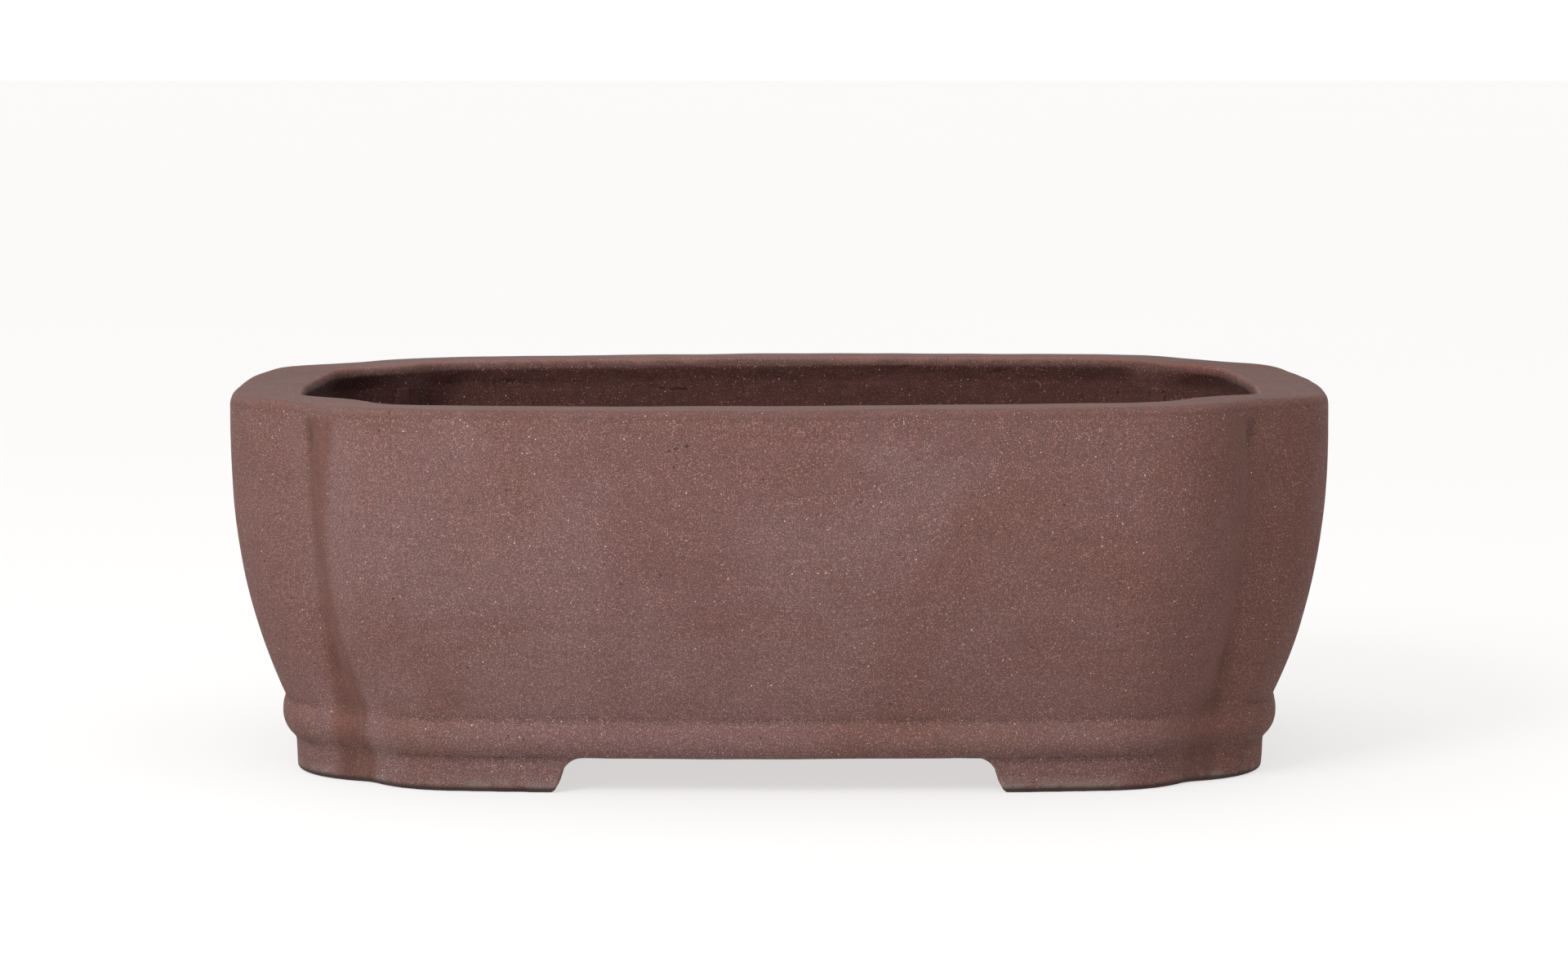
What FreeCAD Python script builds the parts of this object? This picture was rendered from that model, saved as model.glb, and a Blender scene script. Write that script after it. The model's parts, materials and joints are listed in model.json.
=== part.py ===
"""Four-lobed unglazed stoneware bonsai pot, built up from the clay pieces that a slab potter joins.

A base slab carries a half-round belt round its edge. Four lobed wall slabs stand on both, mitred at the
notches between the lobes. Four rim strips lie on the walls and reach inwards as a lip. Four corner feet are
luted under the base, and coils of clay close the seams inside. Every joint is a butt or mitre joint, closed
face to face. The frame has +X along the pot, +Y towards its back and +Z up, with the origin on the surface
that the feet stand on, under the middle of the pot. All sizes are in millimetres.
"""
import FreeCAD, Part
import math
import os
from FreeCAD import Vector

# ---- driving dimensions ----
LENGTH = 254.0            # over the side lobes, at the rim
DEPTH = 194.0             # over the front and back lobes, at the rim
HEIGHT = 86.0
FOOT_HEIGHT = 8.0
BASE_THICKNESS = 9.0      # base slab and belt
RIM_THICKNESS = 5.5       # rim strip, over the wall
RIM_WIDTH = 16.2          # rim strip, from its outer face to the edge of the lip
LIP_EDGE = 2.2            # thickness of the lip at its inner edge
WALL_AT_BASE = 8.0
WALL_AT_TOP = 14.6
THICKENING_POWER = 2.0    # most of the wall's thickening lies near its top

# how much smaller the pot is at its foot than at its rim, on each side
SIDE_TAPER = 12.0
FRONT_TAPER = 13.8
TAPER_POWER = 2.4         # the wall leans in slowly under the rim and fast above the belt

BELT_BULGE = 2.9          # how far the belt's crest stands out of the foot's face
BELT_CREST = 13.2         # height of the crest
BELT_RADIUS = 6.6         # of the belt's round face
BELT_DEPTH = 4.5          # from the foot's face back to the edge of the base slab

FOOT_SET_BACK = 2.1       # foot's face, inside the wall's face at the belt
FOOT_DRAFT = 0.4          # the foot leans in towards the ground
FOOT_WIDTH = 12.0
FRONT_GAP = 100.0         # between the feet at the ground, front and back
SIDE_GAP = 64.0           # between the feet at the ground, left and right
GAP_SHOULDER = 5.0        # radius in the top corners of each gap
GAP_LEAN = 1.7            # how much wider each end of a gap is at the ground than below its top corner

DRAIN_RADIUS = 12.0
DRAIN_X = 50.0
TIE_RADIUS = 3.0
TIE_X = 80.0
TIE_Y = 32.0

SEAM_COIL = 5.0           # height and width of the coil between floor and wall
SEAM_COIL_EDGE = 0.8      # thickness left at the coil's thin edges
CORNER_COIL_RADIUS = 7.0
CORNER_COIL_PROUD = 2.6   # how far a corner coil stands out of the inner wall, above the floor coil
CORNER_COIL_FADE = 2.0    # how much less it stands out under the rim, where it is smeared flat

RIM_OUTER_ROUND = 2.0
RIM_INNER_ROUND = 1.0
FOOT_ROUND = 1.2
WALL_FOOT_ROUND = 0.8     # the wall's lower edge, which makes a groove over the belt
WALL_SECTIONS = 8
BELT_SECTIONS = 9

BASE_TOP = FOOT_HEIGHT + BASE_THICKNESS
WALL_TOP = HEIGHT - RIM_THICKNESS
FAR = 200.0               # past the pot in every direction


class Outline:
    """A four-lobed outline of tangent arcs, given for the quarter with x > 0 and y < 0.

    The front lobe is a flat arc that ends in a round shoulder, and so is the side lobe. A hollow arc, the
    notch, joins the two shoulders.
    """

    NAMES = ("half_length", "half_depth", "front_arc", "side_arc", "front_shoulder", "side_shoulder",
             "front_shoulder_x", "side_shoulder_y", "notch")

    def __init__(self, **values):
        for name in self.NAMES:
            setattr(self, name, values[name])

    def with_changes(self, **changes):
        values = {name: getattr(self, name) for name in self.NAMES}
        for name, change in changes.items():
            values[name] += change
        return Outline(**values)

    def inset(self, distance):
        """The parallel outline, distance further in. The arcs keep their centres."""
        return self.with_changes(
            half_length=-distance, half_depth=-distance, front_arc=-distance, side_arc=-distance,
            front_shoulder=-distance, side_shoulder=-distance, notch=distance)

    def blended(self, other, share):
        """The outline that lies that share of the way to another."""
        return Outline(**{name: (1 - share) * getattr(self, name) + share * getattr(other, name)
                          for name in self.NAMES})

    def centres(self):
        """Centres of the front lobe, front shoulder, notch, side shoulder and side lobe."""
        front = Vector(0, self.front_arc - self.half_depth, 0)
        side = Vector(self.half_length - self.side_arc, 0, 0)
        x = self.front_shoulder_x
        y = -self.side_shoulder_y
        front_shoulder = Vector(x, front.y - math.sqrt((self.front_arc - self.front_shoulder) ** 2 - x * x), 0)
        side_shoulder = Vector(side.x + math.sqrt((self.side_arc - self.side_shoulder) ** 2 - y * y), y, 0)
        apart = side_shoulder - front_shoulder
        to_front = self.front_shoulder + self.notch
        to_side = self.side_shoulder + self.notch
        along = (to_front ** 2 - to_side ** 2 + apart.Length ** 2) / (2 * apart.Length)
        off = math.sqrt(to_front ** 2 - along ** 2)
        direction = Vector(apart).normalize()
        notch = front_shoulder + direction * along + Vector(direction.y, -direction.x, 0) * off
        return front, front_shoulder, notch, side_shoulder, side

    def notch_bottom(self):
        """The innermost point of the notch."""
        front, front_shoulder, notch, side_shoulder, side = self.centres()
        start = (front_shoulder - notch).normalize()
        end = (side_shoulder - notch).normalize()
        return notch + (start + end).normalize() * self.notch

    def quarter(self):
        """(start, middle, end) of each arc from the middle of the front lobe to the middle of the side lobe."""
        front, front_shoulder, notch, side_shoulder, side = self.centres()
        joints = [
            Vector(0, -self.half_depth, 0),
            front + (front_shoulder - front).normalize() * self.front_arc,
            front_shoulder + (notch - front_shoulder).normalize() * self.front_shoulder,
            side_shoulder + (notch - side_shoulder).normalize() * self.side_shoulder,
            side + (side_shoulder - side).normalize() * self.side_arc,
            Vector(self.half_length, 0, 0)]
        radii = (self.front_arc, self.front_shoulder, self.notch, self.side_shoulder, self.side_arc)
        arcs = []
        for centre, radius, start, end in zip(self.centres(), radii, joints, joints[1:]):
            middle = centre + ((start - centre).normalize() + (end - centre).normalize()).normalize() * radius
            arcs.append((start, middle, end))
        return arcs

    def wire(self, z):
        """The whole outline at height z, counter-clockwise from the middle of the front lobe."""
        right_front = self.quarter()
        arcs = list(right_front)
        arcs += [mirrored(arc, 1, -1) for arc in reversed(right_front)]
        arcs += [turned(arc) for arc in right_front]
        arcs += [mirrored(arc, -1, 1) for arc in reversed(right_front)]
        lift = Vector(0, 0, z)
        return Part.Wire([Part.Arc(*[point + lift for point in arc]).toShape() for arc in arcs])


def mirrored(arc, x_sign, y_sign):
    """An arc mirrored in one axis and run backwards, so that the outline keeps its direction."""
    return tuple(Vector(x_sign * point.x, y_sign * point.y, 0) for point in reversed(arc))


def turned(arc):
    """An arc turned half a turn about the pot's middle."""
    return tuple(Vector(-point.x, -point.y, 0) for point in arc)


RIM_OUTLINE = Outline(
    half_length=LENGTH / 2, half_depth=DEPTH / 2, front_arc=620.0, side_arc=420.0,
    front_shoulder=28.0, side_shoulder=33.0, front_shoulder_x=76.5, side_shoulder_y=39.0, notch=12.0)
BASE_OUTLINE = Outline(
    half_length=LENGTH / 2 - SIDE_TAPER, half_depth=DEPTH / 2 - FRONT_TAPER, front_arc=580.0, side_arc=380.0,
    front_shoulder=26.0, side_shoulder=28.0, front_shoulder_x=71.0, side_shoulder_y=37.5, notch=8.0)
LIP_OUTLINE = Outline(
    half_length=LENGTH / 2 - RIM_WIDTH, half_depth=DEPTH / 2 - RIM_WIDTH, front_arc=560.0, side_arc=400.0,
    front_shoulder=18.0, side_shoulder=18.0, front_shoulder_x=74.0, side_shoulder_y=37.0, notch=40.0)
FOOT_OUTLINE = BASE_OUTLINE.with_changes(
    half_length=-FOOT_SET_BACK, half_depth=-FOOT_SET_BACK, front_shoulder=-1.0, side_shoulder=-1.0,
    front_shoulder_x=-1.0)
SLAB_OUTLINE = FOOT_OUTLINE.inset(BELT_DEPTH)


def prism(outline, bottom, top):
    return Part.Face(outline.wire(bottom)).extrude(Vector(0, 0, top - bottom))


def loft(sections, ruled=False):
    """A solid through (outline, height) pairs."""
    return Part.makeLoft([outline.wire(z) for outline, z in sections], True, ruled)


def spread(low, high, count):
    return [low + (high - low) * i / (count - 1) for i in range(count)]


def wall_outline(z):
    """The wall's outer face at height z."""
    share = (z - BASE_TOP) / (WALL_TOP - BASE_TOP)
    return BASE_OUTLINE.blended(RIM_OUTLINE, 1 - (1 - share) ** TAPER_POWER)


def inner_outline(z, further=0.0):
    """The wall's inner face at height z, or a parallel outline that lies further in."""
    share = (z - BASE_TOP) / (WALL_TOP - BASE_TOP)
    thickness = WALL_AT_BASE + (WALL_AT_TOP - WALL_AT_BASE) * share ** THICKENING_POWER
    return wall_outline(z).inset(thickness + further)


def wall_body(outline_at):
    """Everything within the wall's outer or inner face."""
    return loft([(outline_at(z), z) for z in spread(BASE_TOP, WALL_TOP, WALL_SECTIONS)])


def wall_ring(cavity):
    """The walls before they are cut apart."""
    middle = BASE_OUTLINE.inset(WALL_AT_BASE / 2)
    body = wall_body(wall_outline)
    body = body.makeFillet(WALL_FOOT_ROUND, edges_at(body, BASE_TOP, False, middle))
    return body.cut(cavity)


def belt_outline(z):
    fall = BELT_RADIUS - math.sqrt(BELT_RADIUS ** 2 - (z - BELT_CREST) ** 2)
    return FOOT_OUTLINE.inset(fall - BELT_BULGE)


def mitre_corners():
    """Where the mitre plane of the corner with x > 0 and y < 0 starts on the x axis, and a far point on it."""
    at_rim = RIM_OUTLINE.notch_bottom()
    at_base = BASE_OUTLINE.notch_bottom()
    outwards = (at_rim - at_base).normalize()
    on_axis = at_base - outwards * (at_base.y / outwards.y)
    return on_axis.x, at_rim + outwards * FAR


def sectors():
    """One tall prism for each lobe, cut apart at the mitre planes."""
    axis_x, corner = mitre_corners()
    x, y = corner.x, corner.y
    plans = {
        "front": [(x, y), (axis_x, 0), (-axis_x, 0), (-x, y)],
        "back": [(-x, -y), (-axis_x, 0), (axis_x, 0), (x, -y)],
        "right": [(x, y), (axis_x, 0), (x, -y)],
        "left": [(-x, -y), (-axis_x, 0), (-x, y)]}
    found = {}
    for side, plan in plans.items():
        points = [Vector(px, py, 0) for px, py in plan]
        found[side] = Part.Face(Part.makePolygon(points + points[:1])).extrude(Vector(0, 0, HEIGHT))
    return found


def edges_at(solid, height, inside, outline):
    """Edges that lie flat at a height, inside or outside an outline."""
    limit = Part.Face(outline.wire(height))
    found = []
    for edge in solid.Edges:
        box = edge.BoundBox
        if abs(box.ZMin - height) > 1e-4 or abs(box.ZMax - height) > 1e-4:
            continue
        middle = edge.valueAt((edge.FirstParameter + edge.LastParameter) / 2)
        if limit.isInside(middle, 1e-4, True) == inside:
            found.append(edge)
    return found


def rim_ring():
    """The rim before it is cut: flat on top, with a lip whose underside slopes up to a thin edge."""
    blank = prism(RIM_OUTLINE, WALL_TOP, HEIGHT)
    lip_bottom = HEIGHT - LIP_EDGE
    under_lip = loft([(inner_outline(WALL_TOP), WALL_TOP), (LIP_OUTLINE, lip_bottom)], ruled=True)
    ring = blank.cut(prism(LIP_OUTLINE, lip_bottom, HEIGHT)).cut(under_lip)
    middle = RIM_OUTLINE.inset(RIM_WIDTH / 2)
    ring = ring.makeFillet(RIM_OUTER_ROUND, edges_at(ring, HEIGHT, False, middle))
    return ring.makeFillet(RIM_INNER_ROUND, edges_at(ring, HEIGHT, True, middle))


def belt_ring():
    heights = spread(FOOT_HEIGHT, BASE_TOP, BELT_SECTIONS)
    return loft([(belt_outline(z), z) for z in heights]).cut(prism(SLAB_OUTLINE, FOOT_HEIGHT, BASE_TOP))


def gap_cutter(width, along_y):
    """The gap between two feet, run right through the pot. Its top corners are round and its ends lean out."""
    half = width / 2
    top_half = half - GAP_LEAN - GAP_SHOULDER
    shoulder_z = FOOT_HEIGHT - GAP_SHOULDER
    turn = GAP_SHOULDER * (1 - math.sqrt(0.5))

    def at(across, z):
        return Vector(across, -FAR, z) if along_y else Vector(-FAR, across, z)

    def shoulder(sign):
        outer = sign * (half - GAP_LEAN)
        return Part.Arc(at(outer, shoulder_z), at(outer - sign * turn, FOOT_HEIGHT - turn),
                        at(sign * top_half, FOOT_HEIGHT)).toShape()

    edges = [
        Part.makeLine(at(-half, 0), at(half, 0)),
        Part.makeLine(at(half, 0), at(half - GAP_LEAN, shoulder_z)),
        shoulder(1),
        Part.makeLine(at(top_half, FOOT_HEIGHT), at(-top_half, FOOT_HEIGHT)),
        shoulder(-1),
        Part.makeLine(at(GAP_LEAN - half, shoulder_z), at(-half, 0))]
    reach = Vector(0, 2 * FAR, 0) if along_y else Vector(2 * FAR, 0, 0)
    return Part.Face(Part.Wire(Part.__sortEdges__(edges))).extrude(reach)


def foot_ring():
    """The foot before its gaps are cut, with its lower outer edge rounded."""
    at_ground = FOOT_OUTLINE.inset(FOOT_DRAFT)
    ring = loft([(at_ground, 0), (FOOT_OUTLINE, FOOT_HEIGHT)], ruled=True)
    ring = ring.cut(prism(at_ground.inset(FOOT_WIDTH), 0, FOOT_HEIGHT))
    middle = at_ground.inset(FOOT_WIDTH / 2)
    return ring.makeFillet(FOOT_ROUND, edges_at(ring, 0, False, middle))


def feet():
    """The four corner feet, named for where they stand."""
    ring = foot_ring().cut(gap_cutter(FRONT_GAP, True)).cut(gap_cutter(SIDE_GAP, False))
    found = {}
    for solid in ring.Solids:
        centre = solid.CenterOfMass
        depth_name = "front" if centre.y < 0 else "back"
        side_name = "left" if centre.x < 0 else "right"
        found["foot_{}_{}".format(depth_name, side_name)] = solid
    return found


def base_slab():
    """The floor, with two drainage holes and four small holes for tie wires."""
    slab = prism(SLAB_OUTLINE, FOOT_HEIGHT, BASE_TOP)
    holes = [(x, 0, DRAIN_RADIUS) for x in (-DRAIN_X, DRAIN_X)]
    holes += [(x, y, TIE_RADIUS) for x in (-TIE_X, TIE_X) for y in (-TIE_Y, TIE_Y)]
    for x, y, radius in holes:
        slab = slab.cut(Part.makeCylinder(radius, HEIGHT, Vector(x, y, 0)))
    return slab


def floor_seam_coil(cavity):
    """The coil pressed into the corner between the floor and the walls."""
    top = BASE_TOP + SEAM_COIL
    inner = loft([
        (inner_outline(BASE_TOP, SEAM_COIL), BASE_TOP),
        (inner_outline(top, SEAM_COIL_EDGE), top)], ruled=True)
    layer = Part.makeBox(2 * FAR, 2 * FAR, SEAM_COIL, Vector(-FAR, -FAR, BASE_TOP))
    return cavity.common(layer).cut(inner)


def corner_seam_coils(cavity):
    """The four coils pressed over the mitre joints inside, from the floor coil up to the lip."""
    circles = []
    bottom = BASE_TOP + SEAM_COIL
    for z in spread(bottom, WALL_TOP, WALL_SECTIONS):
        inner_wall = inner_outline(z)
        ridge = inner_wall.notch_bottom()
        inwards = (ridge - inner_wall.centres()[2]).normalize()
        proud = CORNER_COIL_PROUD - CORNER_COIL_FADE * (z - bottom) / (WALL_TOP - bottom)
        centre = ridge - inwards * (CORNER_COIL_RADIUS - proud)
        circle = Part.Circle(centre + Vector(0, 0, z), Vector(0, 0, 1), CORNER_COIL_RADIUS)
        circles.append(Part.Wire(circle.toShape()))
    coil = Part.makeLoft(circles, True, False).common(cavity)
    middle = Vector(0, 0, 0)
    front_right = coil
    front_left = front_right.mirror(middle, Vector(1, 0, 0))
    return {
        "corner_seam_coil_front_right": front_right,
        "corner_seam_coil_front_left": front_left,
        "corner_seam_coil_back_right": front_right.mirror(middle, Vector(0, 1, 0)),
        "corner_seam_coil_back_left": front_left.mirror(middle, Vector(0, 1, 0))}


def pieces():
    cavity = wall_body(inner_outline)
    rings = {"wall": wall_ring(cavity), "rim": rim_ring(), "belt": belt_ring()}
    found = {"base_slab": base_slab(), "floor_seam_coil": floor_seam_coil(cavity)}
    for side, sector in sectors().items():
        for kind, ring in rings.items():
            found["{}_{}".format(side, kind)] = ring.common(sector)
    found.update(feet())
    found.update(corner_seam_coils(cavity))
    return found


def main():
    os.makedirs("parts", exist_ok=True)
    for name, shape in sorted(pieces().items()):
        solids = shape.Solids
        if len(solids) != 1 or not solids[0].isValid():
            raise ValueError("{} is {} solids, valid: {}".format(name, len(solids), [s.isValid() for s in solids]))
        solids[0].exportStep("parts/{}.step".format(name))
        box = solids[0].BoundBox
        print("{:32s} {:9.1f} mm3  {:6.1f} x {:6.1f} x {:5.1f}".format(
            name, solids[0].Volume, box.XLength, box.YLength, box.ZLength))


main()
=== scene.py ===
"""The looks of a lobed, unglazed stoneware bonsai pot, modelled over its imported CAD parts.

The walls, rim, belt and feet are fused into one skin of clay, as the potter's slip and fingers join them. The
skin is softened, dented, wiped and torn, and then cut apart again at the joints, so every piece of clay stays a
piece of its own and its neighbours still meet it exactly. All lengths are in metres.
"""
import functools
import json
import math

import bpy
import numpy as np
from bpy.props import FloatProperty, FloatVectorProperty, IntProperty, PointerProperty
from bpy.types import Operator, Panel, PropertyGroup
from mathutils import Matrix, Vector

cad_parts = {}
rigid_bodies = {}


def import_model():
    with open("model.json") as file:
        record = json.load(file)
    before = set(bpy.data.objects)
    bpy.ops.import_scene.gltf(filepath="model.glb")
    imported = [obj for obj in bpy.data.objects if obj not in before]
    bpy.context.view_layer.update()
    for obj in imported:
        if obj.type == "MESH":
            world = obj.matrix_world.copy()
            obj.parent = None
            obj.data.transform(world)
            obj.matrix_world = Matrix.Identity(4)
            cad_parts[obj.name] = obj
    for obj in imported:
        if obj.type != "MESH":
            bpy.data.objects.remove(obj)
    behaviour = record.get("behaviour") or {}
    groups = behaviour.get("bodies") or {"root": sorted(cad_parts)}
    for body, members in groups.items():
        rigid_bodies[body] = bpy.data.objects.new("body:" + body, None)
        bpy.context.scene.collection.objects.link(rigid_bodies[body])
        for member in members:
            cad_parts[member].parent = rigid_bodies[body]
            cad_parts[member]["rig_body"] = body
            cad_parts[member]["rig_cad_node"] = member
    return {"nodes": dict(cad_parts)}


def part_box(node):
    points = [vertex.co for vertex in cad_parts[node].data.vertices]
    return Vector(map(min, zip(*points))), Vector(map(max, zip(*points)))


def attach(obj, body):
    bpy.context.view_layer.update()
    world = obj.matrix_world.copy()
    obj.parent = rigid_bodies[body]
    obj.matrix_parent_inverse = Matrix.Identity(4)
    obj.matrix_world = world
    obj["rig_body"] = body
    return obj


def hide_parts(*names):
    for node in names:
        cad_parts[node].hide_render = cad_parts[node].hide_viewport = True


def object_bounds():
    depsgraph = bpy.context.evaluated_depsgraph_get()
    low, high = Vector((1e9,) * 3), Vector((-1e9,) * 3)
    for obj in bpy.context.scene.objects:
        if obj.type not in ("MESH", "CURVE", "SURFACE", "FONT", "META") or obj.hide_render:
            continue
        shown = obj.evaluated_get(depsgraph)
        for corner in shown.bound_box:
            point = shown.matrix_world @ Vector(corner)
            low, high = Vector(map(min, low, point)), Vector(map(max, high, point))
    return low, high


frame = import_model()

bl_info = {
    "name": "Lobed Bonsai Pot",
    "version": (1, 0, 0),
    "blender": (4, 5, 0),
    "location": "View3D > Sidebar > Bonsai Pot",
    "description": "Models the clay pieces of a lobed bonsai pot over its CAD parts",
    "category": "Add Mesh",
}

MM = 0.001
SIDES = ("front", "back", "left", "right")
CORNERS = ("front_left", "front_right", "back_left", "back_right")
CAD_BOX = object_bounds()
BASE_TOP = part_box("base_slab")[1].z
FOOT_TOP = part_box("base_slab")[0].z
RIM_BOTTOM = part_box("front_rim")[0].z
POT_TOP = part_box("front_rim")[1].z

# where the potter's groove runs beside the drawn notch, towards the pot's middle, at the wall's foot and its top
GROOVE_ASIDE = (-2.0 * MM, 2.2 * MM)
# the middle of the burnished band beside the groove, in the same terms
BURNISHED_ASIDE = (0.0, 5.4 * MM)
# how far below the rim's top its sponged band ends in a line of sand
SPONGED_BAND = 2.6 * MM
# out of a corner, along x and y, and along the front or back lobe from it for each unit towards the middle
OUTWARDS = {"X": 0.75, "Y": 0.66}
LOBE_SLOPE = 1.13
# steps in a vertex group's weights: a displacement's height is rounded to one of them
COARSE_LEVELS, MEDIUM_LEVELS, FINE_LEVELS = 24, 48, 80
SHARP_EDGE = math.radians(50)


# ---------------------------------------------------------------- settings


def length(name, description, default, low=0.0, high=10.0):
    return FloatProperty(name=name, description=description, default=default, min=low, max=high, subtype="DISTANCE",
                         unit="LENGTH", precision=5)


def colour(name, description, default):
    return FloatVectorProperty(name=name, description=description, default=default, size=3, min=0.0, max=1.0,
                               subtype="COLOR")


class PotForm(PropertyGroup):
    """How far the hand-made clay strays from the drawn shape."""

    skin_step: length("Skin step", "Size of the skin's faces", 0.00068, 0.0003, 0.005)
    floor_step: length("Floor step", "Size of the floor's faces", 0.00092, 0.0003, 0.005)
    coil_step: length("Coil step", "Size of the seam coils' faces", 0.00048, 0.0003, 0.005)
    softening: IntProperty(name="Softening", description="Smoothing passes over every edge and crease", default=2,
                           min=0, max=60)
    notch_softening: IntProperty(name="Notch softening", description="Further passes in the notches", default=36,
                                 min=0, max=200)
    dent_depth: length("Dent depth", "Depth of the broad fingertip dents", 0.00056)
    ripple_depth: length("Ripple depth", "Depth of the finer unevenness", 0.00010)
    wipe_depth: length("Wipe depth", "Depth of the marks of wiping along the wall", 0.00005)
    rim_wave: length("Rim wave", "How far the rim rises and falls", 0.0011)
    lip_wave: length("Lip wave", "How uneven the lip's underside is", 0.0016)
    inner_lumps: length("Inner lumps", "How lumpy the walls are inside", 0.0007)
    tear_depth: length("Tear depth", "Depth of the torn marks inside", 0.0006)
    scrape_depth: length("Scrape depth", "Depth of the scraped lines inside", 0.00028)
    pit_depth: length("Pit depth", "Depth of the separate pits outside", 0.0005)
    rise: length("Rise", "How much higher the rim stands at the front right and the back", 0.0008)
    groove_depth: length("Groove depth", "Depth of the line drawn down each notch", 0.0015)
    notch_fill: length("Notch fill", "How much clay fills the notches at the rim", 0.0016)
    floor_dents: length("Floor dents", "Depth of the dents in the base slab", 0.0006)
    floor_scrapes: length("Floor scrapes", "Depth of the scraped lines in the base slab", 0.00022)
    coil_presses: length("Coil presses", "Depth of the fingertip presses along the seam coils", 0.0006)
    coil_smears: length("Coil smears", "Depth of the smears on the seam coils", 0.0002)


class PotClay(PropertyGroup):
    """The clay's colours and grain."""

    body: colour("Body", "Fired clay as it mostly is", (0.1100, 0.0541, 0.0484))
    warm: colour("Warm", "Clay that was rubbed", (0.1082, 0.0502, 0.0409))
    # red also paints shade on the side lobes, most of all the right one
    red: colour("Red", "Clay that was burnished with a rounded tool in the notches", (0.0940, 0.0385, 0.0300))
    haze: colour("Haze", "Clay with a pale, dry haze", (0.1310, 0.0745, 0.0700))
    # inner is painted shade: the clay inside the pot is made darker for the hollow's shade
    inner: colour("Inner", "Clay that nobody wiped, inside the pot", (0.0620, 0.0232, 0.0190))
    pale: colour("Pale sand", "Pale grains of sand in the clay", (0.330, 0.235, 0.200))
    # dark also paints the contact shade along the bottom edges of the feet
    dark: colour("Dark sand", "Iron spots and pits", (0.020, 0.0100, 0.0090))
    dust: colour("Dust", "Grey dust where the feet rub on the ground", (0.160, 0.1350, 0.1200))
    roughness: FloatProperty(name="Roughness", description="Roughness of the fired surface", default=0.82, min=0,
                             max=1, subtype="FACTOR")
    grain_depth: length("Grain depth", "Height of the sandy grain", 0.00006)


class PotStudio(PropertyGroup):
    """Floor, light and camera."""

    floor: colour("Floor", "Colour of the floor", (0.26, 0.2585, 0.257))
    floor_glow: FloatProperty(name="Floor glow", description="Light that comes up through the floor", default=0.64,
                              min=0, max=5)
    sky: FloatProperty(name="Sky", description="Strength of the even light all round", default=1.12, min=0, max=5)
    key_power: FloatProperty(name="Key", description="Power of the lamp at the front left, in watts", default=10.5,
                             min=0, max=1000)
    distance: length("Distance", "Camera to the pot's middle, along the floor", 1.1101, 0.1)
    height: length("Height", "Camera above the floor", 0.1626)
    aside: length("Aside", "Camera to the right of the pot's middle", 0.00106, -1.0)
    tilt: FloatProperty(name="Tilt", description="How far the camera looks down", default=0.0920, min=-1.5, max=1.5,
                        subtype="ANGLE", unit="ROTATION")
    lens: FloatProperty(name="Lens", description="Focal length in millimetres", default=108.16, min=10, max=500)


# ---------------------------------------------------------------- modelling helpers


def only(*objects):
    """Selects these objects and nothing else."""
    if bpy.context.object and bpy.context.object.mode != "OBJECT":
        bpy.ops.object.mode_set(mode="OBJECT")
    bpy.ops.object.select_all(action="DESELECT")
    for obj in objects:
        obj.hide_set(False)
        obj.select_set(True)
    bpy.context.view_layer.objects.active = objects[0]


def duplicate(obj, name):
    only(obj)
    bpy.ops.object.duplicate()
    made = bpy.context.object
    made.name = name
    return made


def fused(nodes, name):
    """One mesh from copies of these CAD nodes."""
    copies = []
    for node in nodes:
        made = duplicate(frame["nodes"][node], f"{name}_{node}")
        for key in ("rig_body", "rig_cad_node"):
            if key in made:
                del made[key]
        made.data.materials.clear()
        copies.append(made)
    only(*copies)
    bpy.ops.object.parent_clear(type="CLEAR_KEEP_TRANSFORM")
    if len(copies) > 1:
        bpy.ops.object.join()
    made = bpy.context.object
    made.name = name
    bpy.ops.object.mode_set(mode="EDIT")
    bpy.ops.mesh.select_all(action="SELECT")
    bpy.ops.mesh.remove_doubles(threshold=0.005 * MM)
    bpy.ops.object.mode_set(mode="OBJECT")
    return made


def modifier(obj, kind, **values):
    """Adds a modifier and applies it."""
    only(obj)
    made = obj.modifiers.new(kind.title(), kind)
    for key, value in values.items():
        setattr(made, key, value)
    bpy.ops.object.modifier_apply(modifier=made.name)


def skinned(obj, step):
    modifier(obj, "REMESH", mode="VOXEL", voxel_size=step, adaptivity=0.0)


def softened(obj, passes, group=""):
    if passes:
        modifier(obj, "SMOOTH", factor=0.5, iterations=passes, vertex_group=group)


def places(obj):
    co = np.empty(len(obj.data.vertices) * 3, np.float32)
    obj.data.vertices.foreach_get("co", co)
    return co.reshape(-1, 3)


def normals(obj):
    found = np.empty(len(obj.data.vertices) * 3, np.float32)
    obj.data.vertex_normals.foreach_get("vector", found)
    return found.reshape(-1, 3)


def step_up(values, low, high):
    """0 below low, 1 above high and a smooth rise between."""
    share = np.clip((values - low) / (high - low), 0.0, 1.0)
    return share * share * (3 - 2 * share)


def weigh(obj, name, weights, levels=COARSE_LEVELS):
    """A vertex group with these weights."""
    group = obj.vertex_groups.get(name) or obj.vertex_groups.new(name=name)
    marks = np.rint(np.clip(weights, 0, 1) * levels).astype(int)
    for level in range(1, levels + 1):
        chosen = np.nonzero(marks == level)[0]
        if len(chosen):
            group.add(chosen.tolist(), level / levels, "REPLACE")
    return name


def clouds(name, size, depth=2):
    texture = bpy.data.textures.new(name, "CLOUDS")
    texture.noise_scale = size
    texture.noise_depth = depth
    texture.noise_basis = "IMPROVED_PERLIN"
    return texture


def pitted(name, size, share):
    """A field that is flat except for separate hollows. share is how much of each cell a hollow takes."""
    texture = bpy.data.textures.new(name, "VORONOI")
    texture.noise_scale = size
    texture.use_color_ramp = True
    ramp = texture.color_ramp
    ramp.interpolation = "EASE"
    ramp.elements[0].position = 0.0
    ramp.elements[0].color = (0, 0, 0, 1)
    ramp.elements[1].position = share
    ramp.elements[1].color = (0.5, 0.5, 0.5, 1)
    return texture


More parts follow.
